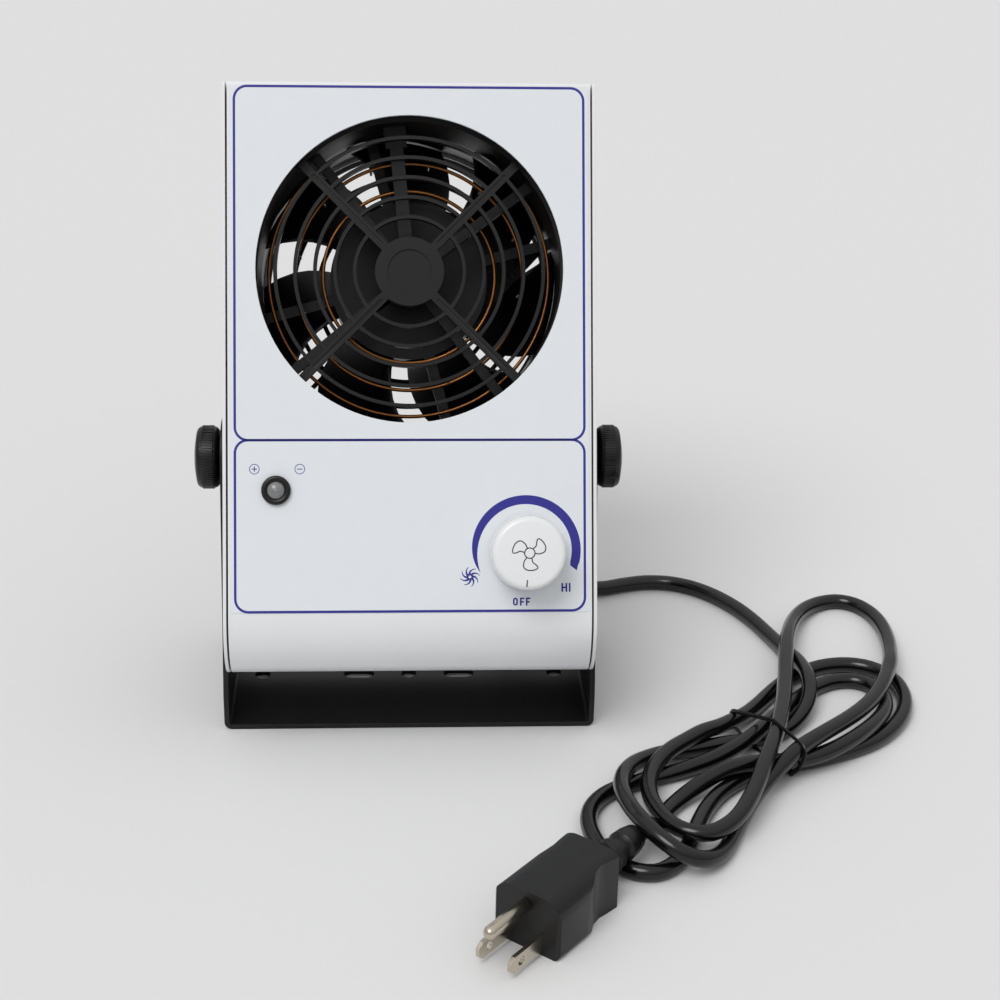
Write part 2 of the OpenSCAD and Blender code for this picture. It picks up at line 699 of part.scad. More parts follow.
// Potted high-voltage supply that stands on the bottom of the housing
module high_voltage_module() color([0.12, 0.12, 0.13]) difference() {
    in_housing() translate([module_x, module_y, sheet]) union() {
        translate([-module_w / 2, -module_d / 2, 0]) rounded_block([module_w, module_d, module_h], 2);
        translate([-module_w / 2 - ear_l, -6, 0]) rounded_block([module_w + 2 * ear_l, 12, ear_t], 3);
    }
    at_module_screws() cylinder(r = small_hole_r, h = sheet + ear_t + 1);
}

module module_screws() color([0.75, 0.75, 0.77]) at_module_screws() pan_screw(small_screw_d, sheet + ear_t + 2);

module at_board_corners() {
    for (x = [board_inset, board_w - board_inset], z = [board_inset, board_h - board_inset])
        seen_from_front(board_x + x, board_z + z) children();
}

module control_board() color([0.1, 0.4, 0.2]) difference() {
    in_housing() translate([board_x, board_front, board_z]) cube([board_w, board_t, board_h]);
    at_board_corners() translate([0, 0, board_front - 1]) cylinder(r = small_hole_r, h = board_t + 2);
}

module board_standoffs() color([0.8, 0.7, 0.4]) at_board_corners() translate([0, 0, sheet])
    tube(2.6, small_screw_d / 2 + push_gap, pot_depth);

module board_screws() color([0.75, 0.75, 0.77]) at_board_corners() translate([0, 0, board_front + board_t])
    mirror([0, 0, 1]) pan_screw(small_screw_d, board_t + 6);

// Places a part on the back of the board, x and z measured on the board
module on_board(x, z) {
    in_housing() translate([board_x + x, board_front + board_t, board_z + z]) children();
}

module filter_capacitor() color([0.85, 0.7, 0.15]) on_board(5, 9) cube([18, 14, 8.5]);

module mains_fuse() color([0.8, 0.8, 0.82]) on_board(4, 26) {
    translate([0, 3.5, 0]) rotate([0, 90, 0]) cylinder(r = 2.6, h = 20);
    for (x = [1, 15]) translate([x, 0, -1.5]) cube([4, 2, 3]);
}

module speed_triac() color([0.15, 0.15, 0.16]) on_board(28, 30) {
    cube([10, 4.5, 9]);
    translate([0, 0, 9]) cube([10, 1.3, 5]);
}

module suppression_choke() color([0.6, 0.35, 0.15]) on_board(34, 13) translate([0, 4, 0]) rotate([90, 0, 0])
    rotate_extrude() translate([6, 0]) circle(3.9, $fn = 32);

// --- speed control -------------------------------------------------------------

module speed_potentiometer() color([0.6, 0.6, 0.62]) seen_from_front(knob_x, knob_z) difference() {
    union() {
        translate([0, 0, sheet]) cylinder(r = pot_body_r, h = pot_depth);
        translate([0, 0, -film_t - pot_nut_t - 0.8]) cylinder(r = pot_bushing_r, h = film_t + pot_nut_t + 0.8 + sheet);
    }
    translate([0, 0, -10]) cylinder(r = pot_shaft_d / 2 + running_gap, h = 10 + sheet + 4);
}

module potentiometer_nut() color([0.75, 0.75, 0.77]) seen_from_front(knob_x, knob_z)
    translate([0, 0, -film_t - pot_nut_t]) hex_nut(6.2, pot_nut_t, pot_bushing_r + push_gap);

module potentiometer_shaft() color([0.8, 0.8, 0.82]) seen_from_front(knob_x, knob_z)
    translate([0, 0, -film_t - knob_h + 3]) cylinder(d = pot_shaft_d, h = film_t + knob_h - 3 + sheet + 3.5);

// Smooth push-on knob, hollow over the nut, with a rounded front edge
module speed_knob() color([0.95, 0.95, 0.95]) seen_from_front(knob_x, knob_z) mirror([0, 0, 1]) {
    skirt_gap = 0.6;
    edge_r = 2;
    top_r = knob_d / 2 - 0.6;
    top = film_t + knob_h;
    foot = film_t + skirt_gap;
    difference() {
        rotate_extrude($fn = 96) polygon(concat([[0, foot], [knob_d / 2 - 0.3, foot], [knob_d / 2, foot + 0.4]],
            arc(top_r - edge_r, top - edge_r, edge_r, 0, 90, 6), [[0, top]]));
        translate([0, 0, -1]) cylinder(r = knob_d / 2 - 2.2, h = 6.2);
        translate([0, 0, -1]) cylinder(r = pot_shaft_d / 2 + push_gap, h = top - 2.9 + 1);
    }
}

module indicator_bezel() color([0.06, 0.06, 0.06]) seen_from_front(-lamp_x, lamp_z) difference() {
    union() {
        translate([0, 0, -film_t]) mirror([0, 0, 1]) rotate_extrude()
            bent_outline(0, 0, lamp_d / 2, 2, [0, 0, 1, 0]);
        translate([0, 0, -film_t - 0.5]) cylinder(r = 4, h = film_t + 0.5 + 15);
    }
    translate([0, 0, -4]) cylinder(r = lens_d / 2 + push_gap, h = 12);
}

module indicator_lens() color([0.75, 0.76, 0.78]) seen_from_front(-lamp_x, lamp_z) {
    translate([0, 0, -film_t - 1.6]) cylinder(d = lens_d, h = 9);
    translate([0, 0, -film_t - 1.6]) intersection() {
        translate([0, 0, 3]) sphere(4.46);
        mirror([0, 0, 1]) cylinder(d = lens_d, h = 4);
    }
}

module indicator_nut() color([0.1, 0.1, 0.1]) seen_from_front(-lamp_x, lamp_z)
    translate([0, 0, sheet]) hex_nut(6, 2.5, 4 + push_gap);

// --- mains inlet ---------------------------------------------------------------

module terminal_block() color([0.85, 0.85, 0.8]) {
    block = [30, 13, 14];
    in_housing() translate([6, back_inner - block[1], sheet + bottom_lip + 2]) difference() {
        cube(block);
        for (i = [0:2]) translate([5 + 10 * i, 6.5, 7]) cylinder(r = 2.4, h = 20);
        for (i = [0:2]) translate([5 + 10 * i, -1, 5]) rotate([-90, 0, 0]) cylinder(r = 2, h = 8);
    }
}

module earth_stud() color([0.8, 0.7, 0.4]) seen_from_front(58, sheet + bottom_lip + 8)
    translate([0, 0, back_inner - 12]) cylinder(r = 2, h = 12);

module earth_nut() color([0.8, 0.7, 0.4]) seen_from_front(58, sheet + bottom_lip + 8)
    translate([0, 0, back_inner - 6]) hex_nut(4, 3.2, 2 + push_gap);

// Moulded bush: snap body in the back wall, flange, and a ribbed taper outside
module cord_strain_relief() color([0.05, 0.05, 0.05]) seen_from_front(exit_x, exit_z)
    translate([0, 0, back_inner]) difference() {
        rotate_extrude() polygon([[0, -7], [5.4, -7], [6.4, -5.5], [6.4, sheet], [8, sheet], [8, sheet + 2.4],
            [6.2, sheet + 2.8], [5.8, sheet + 6], [5, sheet + 6.4], [5, sheet + 8], [5.6, sheet + 8.4],
            [5.3, sheet + 12], [4.6, sheet + 12.4], [4.6, sheet + 14], [5.1, sheet + 14.4],
            [4.8, sheet + 18], [4.2, sheet + 18.4], [4.2, sheet + 20], [4.6, sheet + 20.4],
            [4.4, sheet + relief_l], [0, sheet + relief_l]]);
        translate([0, 0, -8]) cylinder(r = cord_r + push_gap, h = 50);
    }

// Stretch of the cord inside the strain relief and the housing
module cord_inlet() color([0.05, 0.05, 0.05]) seen_from_front(exit_x, exit_z)
    translate([0, 0, back_inner - 16]) cylinder(r = cord_r, h = 16 + sheet + relief_l);

// Point on the cord's axis at a distance outside the back wall
function exit_point(out) =
    let (y = body_d + out - pivot_back, z = -exit_below_pivot)
    [exit_x, y * cos(lean) + z * sin(lean), pivot_h - y * sin(lean) + z * cos(lean)];

module power_cord_lead() color([0.05, 0.05, 0.05])
    cord_tube(concat([exit_point(relief_l), exit_point(relief_l + 3), exit_point(relief_l + 10)], lead_bench), cord_r);

// Outline of one lobe of the folded cord, round at every turn
module lobe(circles) {
    hull() for (c = circles) translate([c[0], c[1]]) circle(c[2], $fn = 32);
}

module power_cord_hank() color([0.05, 0.05, 0.05]) difference() {
    linear_extrude(hank_h) union() {
        lobe(hank_left);
        lobe(hank_right);
    }
    on_plug() translate([-plug_l - 26.05, 0, 0]) translate([0, -8, -1]) cube([90, 16, 17.2]);
}

module cord_tie() color([0.04, 0.04, 0.04])
    translate([tie_place[0], tie_place[1], 0]) rotate([90, 0, 90 + tie_place[2]]) linear_extrude(2.4, center = true)
        difference() {
            bent_outline(-12.2, 0, 12.2, hank_h + 1.2, [3, 3, 6, 6]);
            bent_outline(-11, 1.2, 11, hank_h, [2, 2, 5, 5]);
        }

// Plug frame: x along the blades, origin under the middle of the plug's face
module on_plug() {
    translate([plug_place[0], plug_place[1], 0]) rotate(plug_place[2]) children();
}

module plug_body() color([0.06, 0.06, 0.06]) on_plug() difference() {
    union() {
        plug_shell();
        translate([-plug_l + 2, 0, plug_h / 2 - 1]) rotate([0, -90, 0]) rotate_extrude() polygon([[0, 0], [6.5, 0],
            [6.2, 6], [4.4, 7], [4.4, 10], [6, 11], [5.8, 15], [4.3, 16], [4.3, 19], [5.6, 20], [5.4, 24],
            [4.6, 27.95], [0, 27.95]]);
    }
    translate([-9, 0, 0]) plug_contacts();
}

// Moulded block with finger waists and a shallower back end
module plug_shell() {
    half = plug_w / 2;
    hull_side = [[0, half - 1], [-1, half], [-16, half]];
    waist = [[-20, half - 1], [-24, half - 3], [-28, half - 3.6], [-32, half - 3]];
    tail = [[-plug_l, half - 2.4], [-plug_l, 0]];
    right = concat(hull_side, waist, tail);
    intersection() {
        linear_extrude(plug_h) polygon(concat(right, [for (i = [len(right) - 2:-1:0]) [right[i][0], -right[i][1]]]));
        rotate([0, -90, 0]) linear_extrude(plug_l) bent_outline(0, -half, plug_h, half, [2.5, 7, 7, 2.5]);
    }
}

module plug_contacts() {
    for (s = [-1, 1]) translate([0, s * blade_gap / 2 - 0.75, blade_z - 3.175]) cube([9.1, 1.5, 6.35]);
    translate([0, 0, blade_z + pin_rise]) rotate([0, 90, 0]) cylinder(d = 4.8, h = 9.1);
}

// Two flat blades with a hole near the end, and their feet inside the plug
module plug_blades() color([0.75, 0.72, 0.66]) on_plug() for (s = [-1, 1])
    translate([0, s * blade_gap / 2, blade_z]) rotate([90, 0, 0]) linear_extrude(1.5, center = true) difference() {
        polygon([[-8.9, -3.1], [15.5, -3.1], [17.5, -1.6], [17.5, 1.6], [15.5, 3.1], [-8.9, 3.1]]);
        translate([12, 0]) circle(1.6);
    }

module plug_ground_pin() color([0.78, 0.74, 0.66]) on_plug() translate([-8.9, 0, blade_z + pin_rise]) rotate([0, 90, 0])
    rotate_extrude() polygon(concat([[0, 0], [2.38, 0]], [for (p = arc(0, 28.2, 2.38, 0, 90, 6)) p]));

// --- build ---------------------------------------------------------------------

yoke_bracket();
front_shell();
rear_shell();
face_film();
outlet_guard();
guard_spacers();
guard_studs();
stud_nuts();
emitter_carrier();
outer_earth_ring();
emitter_ring();
inner_earth_ring();
emitter_needles();
fan_frame();
stator_core();
stator_windings();
fan_bearings();
fan_impeller();
rotor_cage();
fan_shaft();
rear_guard();
fan_screws();
fan_nuts();
high_voltage_module();
module_screws();
control_board();
board_standoffs();
board_screws();
speed_potentiometer();
potentiometer_nut();
potentiometer_shaft();
speed_knob();
filter_capacitor();
mains_fuse();
speed_triac();
suppression_choke();
indicator_bezel();
indicator_lens();
indicator_nut();
housing_screws();
pivot_inserts();
friction_washers();
left_clamp_knob();
left_clamp_stud();
right_clamp_knob();
right_clamp_stud();
terminal_block();
earth_stud();
earth_nut();
cord_strain_relief();
cord_inlet();
power_cord_lead();
power_cord_hank();
cord_tie();
plug_body();
plug_blades();
plug_ground_pin();
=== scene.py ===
import json
import math
import bmesh
import bpy
import numpy as np
from mathutils import Matrix, Vector

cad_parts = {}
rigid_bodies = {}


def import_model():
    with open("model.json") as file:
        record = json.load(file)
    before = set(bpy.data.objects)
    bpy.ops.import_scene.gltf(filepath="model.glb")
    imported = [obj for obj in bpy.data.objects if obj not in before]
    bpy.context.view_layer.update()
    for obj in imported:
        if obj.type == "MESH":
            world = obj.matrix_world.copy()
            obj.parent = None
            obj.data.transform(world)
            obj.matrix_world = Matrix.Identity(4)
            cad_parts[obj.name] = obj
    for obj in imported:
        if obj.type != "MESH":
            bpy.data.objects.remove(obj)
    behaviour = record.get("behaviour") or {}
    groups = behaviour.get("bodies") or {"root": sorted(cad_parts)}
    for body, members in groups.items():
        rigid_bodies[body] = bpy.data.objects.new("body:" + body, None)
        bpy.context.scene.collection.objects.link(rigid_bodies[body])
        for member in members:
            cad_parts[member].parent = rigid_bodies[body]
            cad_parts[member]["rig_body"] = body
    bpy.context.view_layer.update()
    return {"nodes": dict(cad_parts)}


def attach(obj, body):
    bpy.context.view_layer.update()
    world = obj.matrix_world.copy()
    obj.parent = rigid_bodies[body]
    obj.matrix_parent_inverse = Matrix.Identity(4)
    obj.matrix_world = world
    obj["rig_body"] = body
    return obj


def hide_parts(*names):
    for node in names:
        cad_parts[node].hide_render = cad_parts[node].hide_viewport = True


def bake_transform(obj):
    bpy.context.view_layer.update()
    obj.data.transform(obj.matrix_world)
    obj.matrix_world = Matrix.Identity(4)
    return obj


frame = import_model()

# --- bench sheet, light and camera ---------------------------------------------
# The blower stands on a seamless pale grey sheet. One broad lamp from above and
# a pale room light it, so the white housing stays soft and the blacks stay deep.


def linear(hex_colour):
    """sRGB #RRGGBB to linear: c / 12.92 up to 0.04045, else ((c + 0.055) / 1.055) to the power 2.4."""
    c = np.array([int(hex_colour[i:i + 2], 16) / 255 for i in (1, 3, 5)])
    c = np.where(c <= 0.04045, c / 12.92, ((c + 0.055) / 1.055) ** 2.4)
    return (*c.tolist(), 1.0)


def add(tree, kind, inputs=None, **settings):
    """Adds one shader node with its settings; inputs are values or sockets to link, by name or number."""
    n = tree.nodes.new(kind)
    for k, v in settings.items():
        setattr(n, k, v)
    for k, v in (inputs or {}).items():
        if isinstance(v, bpy.types.NodeSocket):
            tree.links.new(v, n.inputs[k])
        else:
            n.inputs[k].default_value = v
    return n


def finish_named(name, colour, roughness, grain_mm=None, depth_mm=0.02, shade=None, **sockets):
    """Finish on a Principled shader. grain_mm is the size of its surface texture, raised by depth_mm;
    shade is a second colour that the same texture mixes in by a quarter."""
    m = bpy.data.materials.new(name)
    m.use_nodes = True
    t = m.node_tree
    s = t.nodes["Principled BSDF"]
    s.inputs["Base Color"].default_value = linear(colour)
    s.inputs["Roughness"].default_value = roughness
    for k, v in sockets.items():
        s.inputs[k.replace("_", " ")].default_value = v
    if grain_mm:
        place = add(t, "ShaderNodeTexCoord").outputs["Object"]
        grain = add(t, "ShaderNodeTexNoise", {"Vector": place, "Scale": 1000 / grain_mm, "Detail": 3.0})
        bump = add(t, "ShaderNodeBump", {"Height": grain.outputs["Fac"], "Distance": depth_mm / 1000,
                                         "Strength": 0.6})
        t.links.new(bump.outputs["Normal"], s.inputs["Normal"])
        if shade:
            broad = add(t, "ShaderNodeTexNoise", {"Vector": place, "Scale": 1000 / (grain_mm * 14), "Detail": 4.0})
            part = add(t, "ShaderNodeMapRange", {"Value": broad.outputs["Fac"], "From Min": 0.35, "From Max": 0.75,
                                                 "To Min": 0.0, "To Max": 0.5})
            mix = add(t, "ShaderNodeMix", {0: part.outputs[0], 6: linear(colour), 7: linear(shade)}, data_type="RGBA")
            t.links.new(mix.outputs[2], s.inputs["Base Color"])
    return m


def mesh_piece(name, points, faces, material, body, smooth=True, sharp=35):
    """Object at the origin from an array of points in metres and a list of faces, shaded smooth up to an angle."""
    me = bpy.data.meshes.new(name)
    face_list = faces if isinstance(faces, list) else np.asarray(faces).tolist()
    me.from_pydata(np.asarray(points).tolist(), [], face_list)
    me.validate()
    me.materials.append(material)
    if smooth:
        me.polygons.foreach_set("use_smooth", [True] * len(me.polygons))
        me.set_sharp_from_angle(angle=math.radians(sharp))
    ob = bpy.data.objects.new(name, me)
    bpy.context.scene.collection.objects.link(ob)
    if body:
        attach(ob, body)
    return ob


bench_paper = finish_named("sweep paper, matt", "#DDDDDD", 0.95, 1.5, 0.03)
sheet_z = -2e-5
sheet = mesh_piece("bench_sheet", [(-4, -3, sheet_z), (4, -3, sheet_z), (4, 8, sheet_z), (-4, 8, sheet_z)],
                   [(0, 1, 2, 3)], bench_paper, None, smooth=False)

scene = bpy.context.scene
scene.view_settings.view_transform = "Standard"
room = bpy.data.worlds.new("pale studio room")
room.use_nodes = True
scene.world = room
t = room.node_tree
way_up = add(t, "ShaderNodeSeparateXYZ", {0: add(t, "ShaderNodeTexCoord").outputs["Generated"]})
rise = add(t, "ShaderNodeMapRange", {"Value": way_up.outputs["Z"], "From Min": 0.0, "From Max": 0.8,
                                     "To Min": 0.3, "To Max": 0.78})
t.links.new(rise.outputs[0], t.nodes["Background"].inputs["Strength"])
t.nodes["Background"].inputs["Color"].default_value = (1, 1, 1, 1)

softbox = bpy.data.lights.new("softbox", "SUN")
softbox.energy = 1.35
softbox.angle = math.radians(32)
lamp = bpy.data.objects.new("softbox", softbox)
scene.collection.objects.link(lamp)
lamp.rotation_euler = Vector((-0.35, -0.52, 0.85)).to_track_quat("Z", "Y").to_euler()

yaw, pitch, roll = (math.radians(a) for a in (-3.435, 24.703, 1.255))
ahead = Vector((-math.sin(yaw) * math.cos(pitch), math.cos(yaw) * math.cos(pitch), -math.sin(pitch)))
level = Vector((math.cos(yaw), math.sin(yaw), 0))
above = level.cross(ahead)
right = math.cos(roll) * level + math.sin(roll) * above
up = -math.sin(roll) * level + math.cos(roll) * above
lens = bpy.data.cameras.new("bench_camera")
lens.lens = 74.8
lens.sensor_width = 36
camera = bpy.data.objects.new("bench_camera", lens)
scene.collection.objects.link(camera)
camera.matrix_world = Matrix.Translation((-0.008663, -0.730246, 0.415069)) @ Matrix(
    (right, up, -ahead)).transposed().to_4x4()
scene.camera = camera

# --- power cord ----------------------------------------------------------------
# Round three-core lead, 6.2 mm, in glossy black PVC. It drops from the strain
# relief to the bench, is folded into a tied bundle and ends in the plug.
cord_radius = 0.0031
route = np.array([
    [45, 40.13, 36.36], [45.0, 49.2, 32.1], [46.4, 57.6, 27.0], [51.0, 63.5, 20.5], [58.2, 66.3, 14.2],
    [66.6, 67.5, 8.9], [75.8, 68.5, 5.2], [85.2, 71.3, 3.4], [94.6, 74.8, 3.2], [104.3, 77.0, 3.2],
    [114.2, 76.2, 3.2], [123.3, 72.1, 3.2], [130.9, 65.6, 3.2], [137.1, 57.8, 3.2], [142.2, 49.2, 3.2],
    [146.5, 39.7, 3.1], [149.9, 29.9, 3.2], [152.7, 19.8, 3.9], [154.9, 9.7, 4.9], [156.6, -0.0, 7.1],
    [157.7, -9.6, 8.4], [157.9, -18.8, 9.3], [156.9, -27.8, 8.1], [154.0, -36.3, 6.5], [149.1, -43.9, 4.8],
    [142.3, -50.0, 3.3], [133.4, -54.0, 3.1], [124.0, -56.9, 3.1], [114.1, -59.3, 3.1], [104.4, -62.0, 3.1],
    [95.4, -65.9, 4.2], [87.5, -71.7, 5.6], [81.3, -79.4, 7.6], [77.2, -88.9, 9.8], [75.1, -99.3, 11.9],
    [75.0, -110.0, 13.9], [76.7, -120.4, 15.0], [80.1, -129.5, 15.0], [85.1, -136.6, 13.3], [91.5, -140.5, 10.5],
    [98.4, -140.0, 7.4], [104.3, -135.2, 4.9], [109.0, -128.1, 3.4], [112.9, -119.9, 3.1], [116.6, -111.6, 3.2],
    [120.7, -103.6, 4.4], [125.5, -96.2, 6.2], [131.3, -89.5, 8.5], [137.5, -83.6, 11.4], [144.1, -77.4, 13.3],
    [151.2, -71.0, 13.6], [158.2, -64.2, 13.2], [165.1, -57.0, 12.5], [171.5, -49.5, 11.7], [177.3, -41.5, 10.9],
    [182.3, -33.2, 10.3], [186.7, -24.5, 9.9], [190.5, -15.1, 9.1], [193.9, -5.2, 8.7], [196.4, 5.3, 7.1],
    [198.3, 16.2, 5.8], [199.4, 27.2, 4.6], [199.2, 37.9, 3.8], [197.2, 47.4, 3.2], [192.6, 54.7, 3.1],
    [185.5, 58.1, 3.1], [177.8, 56.2, 3.3], [171.1, 50.7, 4.0], [165.8, 42.9, 5.2], [161.8, 34.1, 6.7],
    [158.6, 24.9, 8.5], [156.0, 15.8, 10.2], [153.7, 6.8, 11.3], [151.9, -2.2, 11.7], [150.1, -11.2, 11.9],
    [148.4, -20.5, 12.0], [146.4, -30.0, 12.3], [144.3, -39.7, 12.8], [141.8, -49.6, 13.3], [139.0, -59.6, 13.8],
    [135.8, -69.8, 14.2], [132.2, -79.9, 14.5], [128.3, -90.0, 14.1], [124.4, -99.9, 12.9], [120.1, -109.0, 11.7],
    [115.3, -117.1, 10.5], [109.7, -123.3, 9.7], [103.0, -126.9, 9.1], [95.9, -126.1, 9.3], [90.4, -121.1, 9.3],
    [86.9, -113.4, 9.6], [85.3, -104.7, 9.3], [85.5, -95.5, 9.2], [87.6, -86.7, 9.1], [91.4, -78.6, 9.1],
    [96.8, -71.3, 9.2], [103.3, -64.6, 8.8], [110.4, -58.1, 8.6], [117.6, -52.0, 7.1], [124.3, -45.4, 5.9],
    [130.3, -38.5, 4.6], [135.6, -31.1, 3.7], [140.7, -23.5, 3.2], [146.2, -16.1, 3.1], [152.5, -9.1, 3.1],
    [160.0, -3.3, 3.1], [168.2, 0.9, 3.1], [176.9, 2.4, 3.1], [185.2, 0.5, 3.1], [191.5, -5.0, 3.1],
    [195.3, -13.0, 3.1], [196.0, -22.2, 3.1], [194.3, -31.7, 3.1], [190.5, -40.7, 3.1], [185.0, -48.9, 3.1],
    [178.2, -55.9, 3.1], [170.0, -61.6, 3.1], [161.1, -66.1, 3.1], [151.9, -69.8, 3.1], [142.5, -73.0, 3.1],
    [133.4, -76.4, 3.1], [124.9, -80.8, 3.1], [117.4, -86.9, 3.1], [111.0, -94.1, 3.1], [105.9, -102.5, 3.1],
    [101.8, -111.6, 3.1], [98.2, -120.8, 3.1], [94.4, -129.6, 3.1], [89.6, -136.9, 3.1], [83.3, -141.3, 3.1],
    [76.0, -140.3, 3.1], [70.1, -135.0, 3.1], [65.8, -127.3, 3.1], [63.4, -118.9, 3.1], [62.6, -110.7, 3.1],
    [63.6, -103.2, 3.1], [66.7, -96.5, 3.1], [71.7, -90.9, 3.1], [78.3, -86.6, 3.1], [85.9, -82.9, 3.1],
    [94.2, -79.7, 3.4], [102.8, -76.5, 4.2], [111.3, -72.9, 5.3], [119.3, -68.6, 6.7], [126.6, -63.1, 7.9],
    [133.0, -56.5, 8.7], [138.4, -48.6, 8.1], [143.8, -40.2, 6.4], [149.2, -31.5, 4.8], [155.1, -23.1, 3.3],
    [162.1, -16.0, 3.1], [169.8, -11.4, 3.1], [177.9, -10.7, 3.1], [184.3, -15.0, 3.3], [187.0, -22.9, 3.8],
    [186.3, -32.4, 5.0], [183.0, -42.0, 6.4], [177.8, -51.1, 7.7], [171.7, -59.3, 8.7], [164.9, -66.1, 8.9],
    [157.6, -71.3, 8.3], [149.7, -75.0, 7.6], [141.3, -77.4, 7.4], [132.6, -79.6, 8.3], [123.9, -81.9, 9.0],
    [115.4, -84.7, 8.4], [107.6, -88.6, 6.5], [100.6, -93.6, 4.7], [94.3, -99.5, 3.1], [89.4, -106.8, 3.1],
    [84.9, -114.7, 3.7], [83.1, -122.5, 9.2], [76.5, -129.8, 10.0]]) / 1000


def through(points, spacing):
    """Catmull-Rom curve through the points: each span is the cubic that leaves a point along the line
    joining its two neighbours; returned at even spacing along its length."""
    p = np.vstack([2 * points[0] - points[1], points, 2 * points[-1] - points[-2]])
    u = np.linspace(0, 1, 8, endpoint=False)[None, :, None]
    a, b, c, d = (p[i:len(p) - 3 + i][:, None] for i in range(4))
    q = 0.5 * (2 * b + (c - a) * u + (2 * a - 5 * b + 4 * c - d) * u ** 2 + (3 * b - a - 3 * c + d) * u ** 3)
    q = np.vstack([q.reshape(-1, points.shape[1]), points[-1]])
    run = np.r_[0, np.cumsum(np.linalg.norm(np.diff(q, axis=0), axis=1))]
    at = np.linspace(0, run[-1], int(run[-1] / spacing) + 1)
    return np.stack([np.interp(at, run, q[:, k]) for k in range(points.shape[1])], 1)


def swept(line, section, closed=False, hint=(0, 0, 1)):
    """Carries a closed section (across, over) along a line of points. across is square to the line and level,
    over is square to both; quads join neighbouring rings, and open ends get a flat cap."""
    n, k = len(line), len(section)
    ahead_ = (np.roll(line, -1, 0) - np.roll(line, 1, 0)) if closed else np.gradient(line, axis=0)
    ahead_ /= np.linalg.norm(ahead_, axis=1)[:, None]
    across = np.cross(ahead_, np.broadcast_to(np.array(hint, float), ahead_.shape))
    across /= np.linalg.norm(across, axis=1)[:, None]
    over = np.cross(across, ahead_)
    sec = np.broadcast_to(section, (n, k, 2)) if np.ndim(section) == 2 else section
    pts = line[:, None] + sec[..., :1] * across[:, None] + sec[..., 1:] * over[:, None]
    i = np.arange(n if closed else n - 1)[:, None]
    j = np.arange(k)[None]
    a, b = i * k + j, i * k + (j + 1) % k
    c, d = ((i + 1) % n) * k + (j + 1) % k, ((i + 1) % n) * k + j
    faces = np.stack([a, b, c, d], -1).reshape(-1, 4).tolist()
    if not closed:
        faces += [list(range(k))[::-1], [(n - 1) * k + v for v in range(k)]]
    return pts.reshape(-1, 3), faces


def circle_section(r, sides=16):
    """Points r from the middle, evenly spaced in angle."""
    a = np.arange(sides) * 2 * np.pi / sides
    return r * np.stack([np.cos(a), -np.sin(a)], 1)


cord_pvc = finish_named("PVC cord jacket, extruded", "#050505", 0.2, 4.0, 0.02, "#0B0B0B")
cord_line = through(route, 0.003)
cord = mesh_piece("power_cord", *swept(cord_line, circle_section(cord_radius)), cord_pvc, None)
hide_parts("power_cord_lead", "power_cord_hank")
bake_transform(cord)

# --- cord tie ------------------------------------------------------------------
# Paper-and-wire twist tie, coated black, drawn once round the bundle. It stands
# on edge, with its wide side out from the strands.
tie_at, tie_turn = np.array([0.136, -0.066]), math.radians(28)
along = np.array([math.cos(tie_turn), math.sin(tie_turn), 0])
side = np.array([-along[1], along[0], 0])
gap = (cord_line - np.r_[tie_at, 0]) @ along
cuts = np.nonzero((gap[1:] * gap[:-1] < 0) & (np.abs((cord_line[1:] - np.r_[tie_at, 0]) @ side) < 0.03))[0]
strands = np.stack([(cord_line[cuts] - np.r_[tie_at, 0]) @ side, cord_line[cuts][:, 2]], 1)
turn = np.linspace(0, 2 * np.pi, 72, endpoint=False)
outward = np.stack([np.cos(turn), np.sin(turn)], 1)
touch = strands[np.argmax(strands @ outward.T, 0)] + outward * (cord_radius + 0.0004)
touch[:, 1] = np.maximum(touch[:, 1], 0.0005)
tie_line = np.r_[tie_at, 0] + touch[:, :1] * side + touch[:, 1:] * np.array([0, 0, 1])
tie_half_width, tie_half_thickness = 0.0009, 0.00045
tie_section = circle_section(1.0, 10) * np.array([tie_half_width, tie_half_thickness])
tie_coat = finish_named("twist tie, plastic-coated", "#101010", 0.35, 1.0, 0.02)
band, quads = swept(tie_line, tie_section, closed=True, hint=along)
tie = mesh_piece("twist_tie", band, quads, tie_coat, "stand")
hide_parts("cord_tie")

# --- cut and bent parts from the frame -----------------------------------------
# Sheet metal and mouldings keep their shape; their edges are rounded as a press
# brake, a deburring wheel or a mould leaves them.


def eased(node, name, width, material, angle=35):
    """Copy of a part with its loose corners joined and its flat faces merged; edges sharper than angle are
    rounded by width metres, and everything flatter is shaded smooth."""
    bm = bmesh.new()
    bm.from_mesh(frame["nodes"][node].data)
    bmesh.ops.remove_doubles(bm, verts=bm.verts, dist=2e-6)
    if width:
        bmesh.ops.dissolve_limit(bm, angle_limit=math.radians(0.5), verts=bm.verts, edges=bm.edges)
    me = bpy.data.meshes.new(name)
    bm.to_mesh(me)
    bm.free()
    me.materials.clear()
    me.materials.append(material)
    me.polygons.foreach_set("material_index", [0] * len(me.polygons))
    me.polygons.foreach_set("use_smooth", [True] * len(me.polygons))
    me.set_sharp_from_angle(angle=math.radians(angle))
    ob = bpy.data.objects.new(name, me)
    scene.collection.objects.link(ob)
    if width:
        edge = ob.modifiers.new("rounded edges", "BEVEL")
        edge.width, edge.segments, edge.limit_method = width, 2, "ANGLE"
        edge.angle_limit = math.radians(angle)
        edge.harden_normals = True
    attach(ob, frame["nodes"][node]["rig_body"])
    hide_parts(node)
    return ob


def finish_node(material, *nodes):
    """Gives parts that keep their own mesh a finish."""
    for n in nodes:
        frame["nodes"][n].data.materials.clear()
        frame["nodes"][n].data.materials.append(material)


